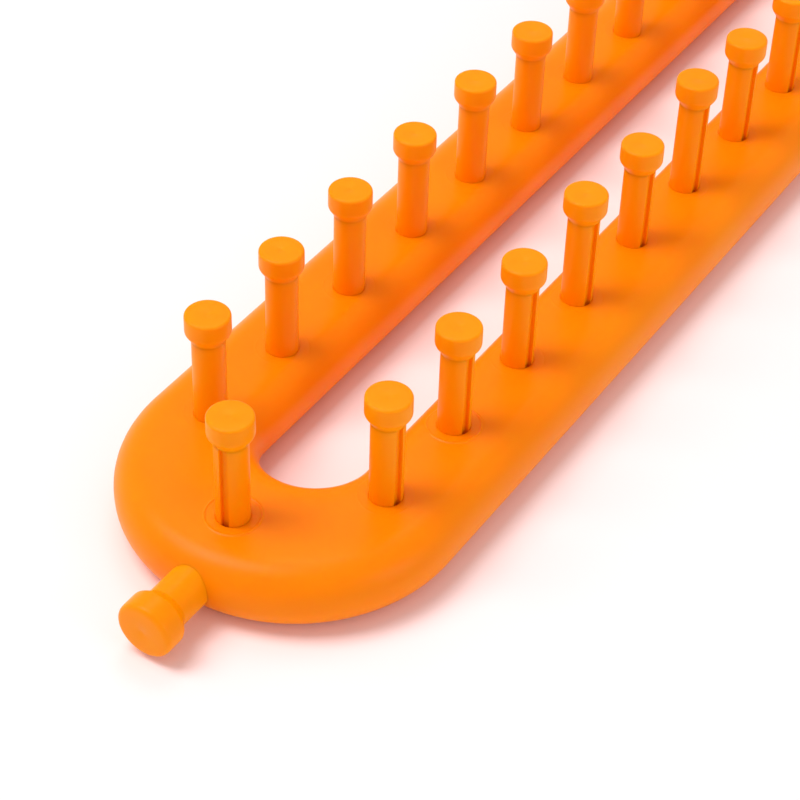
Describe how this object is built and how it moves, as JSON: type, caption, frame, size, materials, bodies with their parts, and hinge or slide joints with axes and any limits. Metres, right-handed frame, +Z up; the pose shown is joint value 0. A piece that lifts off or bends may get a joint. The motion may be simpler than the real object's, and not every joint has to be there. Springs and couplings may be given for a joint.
{
  "type": "knitting loom",
  "caption": "Long oval knitting loom: a slotted plastic ring rail with headed pull-out pegs along both sides and round the ends, and a level anchor peg at one end.",
  "frame": {"origin": "on the surface the loom rests on, at the middle of its bounding box, anchor peg included", "axes": "+X along the loom, away from the end with the anchor peg; +Y towards the left row; +Z up, out of the rail along the upright pegs"},
  "size_m": [0.2463, 0.0498, 0.0296],
  "materials": {
    "frame_plastic": "satin",
    "peg_plastic": "satin",
    "anchor_plastic": "satin"
  },
  "bodies": {
    "frame": {"frame": "frame_plastic"},
    "peg_left_01": {"peg_left_01": "peg_plastic"},
    "peg_left_02": {"peg_left_02": "peg_plastic"},
    "peg_left_03": {"peg_left_03": "peg_plastic"},
    "peg_left_04": {"peg_left_04": "peg_plastic"},
    "peg_left_05": {"peg_left_05": "peg_plastic"},
    "peg_left_06": {"peg_left_06": "peg_plastic"},
    "peg_left_07": {"peg_left_07": "peg_plastic"},
    "peg_left_08": {"peg_left_08": "peg_plastic"},
    "peg_left_09": {"peg_left_09": "peg_plastic"},
    "peg_left_10": {"peg_left_10": "peg_plastic"},
    "peg_left_11": {"peg_left_11": "peg_plastic"},
    "peg_left_12": {"peg_left_12": "peg_plastic"},
    "peg_right_01": {"peg_right_01": "peg_plastic"},
    "peg_right_02": {"peg_right_02": "peg_plastic"},
    "peg_right_03": {"peg_right_03": "peg_plastic"},
    "peg_right_04": {"peg_right_04": "peg_plastic"},
    "peg_right_05": {"peg_right_05": "peg_plastic"},
    "peg_right_06": {"peg_right_06": "peg_plastic"},
    "peg_right_07": {"peg_right_07": "peg_plastic"},
    "peg_right_08": {"peg_right_08": "peg_plastic"},
    "peg_right_09": {"peg_right_09": "peg_plastic"},
    "peg_right_10": {"peg_right_10": "peg_plastic"},
    "peg_right_11": {"peg_right_11": "peg_plastic"},
    "peg_right_12": {"peg_right_12": "peg_plastic"},
    "peg_end_near": {"peg_end_near": "peg_plastic"},
    "peg_end_far": {"peg_end_far": "peg_plastic"},
    "anchor_peg": {"anchor_peg": "anchor_plastic"}
  },
  "joints": [
    {"name": "peg_left_01_pull", "type": "slide", "parent": "frame", "child": "peg_left_01", "axis": [0, 0, 1], "range_m": [0, 0.0083]},
    {"name": "peg_left_02_pull", "type": "slide", "parent": "frame", "child": "peg_left_02", "axis": [0, 0, 1], "range_m": [0, 0.0083]},
    {"name": "peg_left_03_pull", "type": "slide", "parent": "frame", "child": "peg_left_03", "axis": [0, 0, 1], "range_m": [0, 0.0083]},
    {"name": "peg_left_04_pull", "type": "slide", "parent": "frame", "child": "peg_left_04", "axis": [0, 0, 1], "range_m": [0, 0.0083]},
    {"name": "peg_left_05_pull", "type": "slide", "parent": "frame", "child": "peg_left_05", "axis": [0, 0, 1], "range_m": [0, 0.0083]},
    {"name": "peg_left_06_pull", "type": "slide", "parent": "frame", "child": "peg_left_06", "axis": [0, 0, 1], "range_m": [0, 0.0083]},
    {"name": "peg_left_07_pull", "type": "slide", "parent": "frame", "child": "peg_left_07", "axis": [0, 0, 1], "range_m": [0, 0.0083]},
    {"name": "peg_left_08_pull", "type": "slide", "parent": "frame", "child": "peg_left_08", "axis": [0, 0, 1], "range_m": [0, 0.0083]},
    {"name": "peg_left_09_pull", "type": "slide", "parent": "frame", "child": "peg_left_09", "axis": [0, 0, 1], "range_m": [0, 0.0083]},
    {"name": "peg_left_10_pull", "type": "slide", "parent": "frame", "child": "peg_left_10", "axis": [0, 0, 1], "range_m": [0, 0.0083]},
    {"name": "peg_left_11_pull", "type": "slide", "parent": "frame", "child": "peg_left_11", "axis": [0, 0, 1], "range_m": [0, 0.0083]},
    {"name": "peg_left_12_pull", "type": "slide", "parent": "frame", "child": "peg_left_12", "axis": [0, 0, 1], "range_m": [0, 0.0083]},
    {"name": "peg_right_01_pull", "type": "slide", "parent": "frame", "child": "peg_right_01", "axis": [0, 0, 1], "range_m": [0, 0.0083]},
    {"name": "peg_right_02_pull", "type": "slide", "parent": "frame", "child": "peg_right_02", "axis": [0, 0, 1], "range_m": [0, 0.0083]},
    {"name": "peg_right_03_pull", "type": "slide", "parent": "frame", "child": "peg_right_03", "axis": [0, 0, 1], "range_m": [0, 0.0083]},
    {"name": "peg_right_04_pull", "type": "slide", "parent": "frame", "child": "peg_right_04", "axis": [0, 0, 1], "range_m": [-0.0013, 0.007]},
    {"name": "peg_right_05_pull", "type": "slide", "parent": "frame", "child": "peg_right_05", "axis": [0, 0, 1], "range_m": [0, 0.0083]},
    {"name": "peg_right_06_pull", "type": "slide", "parent": "frame", "child": "peg_right_06", "axis": [0, 0, 1], "range_m": [-0.0021, 0.0062]},
    {"name": "peg_right_07_pull", "type": "slide", "parent": "frame", "child": "peg_right_07", "axis": [0, 0, 1], "range_m": [-0.0005, 0.0078]},
    {"name": "peg_right_08_pull", "type": "slide", "parent": "frame", "child": "peg_right_08", "axis": [0, 0, 1], "range_m": [0, 0.0083]},
    {"name": "peg_right_09_pull", "type": "slide", "parent": "frame", "child": "peg_right_09", "axis": [0, 0, 1], "range_m": [0, 0.0083]},
    {"name": "peg_right_10_pull", "type": "slide", "parent": "frame", "child": "peg_right_10", "axis": [0, 0, 1], "range_m": [0, 0.0083]},
    {"name": "peg_right_11_pull", "type": "slide", "parent": "frame", "child": "peg_right_11", "axis": [0, 0, 1], "range_m": [0, 0.0083]},
    {"name": "peg_right_12_pull", "type": "slide", "parent": "frame", "child": "peg_right_12", "axis": [0, 0, 1], "range_m": [0, 0.0083]},
    {"name": "peg_end_near_pull", "type": "slide", "parent": "frame", "child": "peg_end_near", "axis": [0, 0, 1], "range_m": [0, 0.0083]},
    {"name": "peg_end_far_pull", "type": "slide", "parent": "frame", "child": "peg_end_far", "axis": [0, 0, 1], "range_m": [0, 0.0083]},
    {"name": "anchor_peg_pull", "type": "slide", "parent": "frame", "child": "anchor_peg", "axis": [-1, 0, 0], "range_m": [0, 0.0067]}
  ]
}
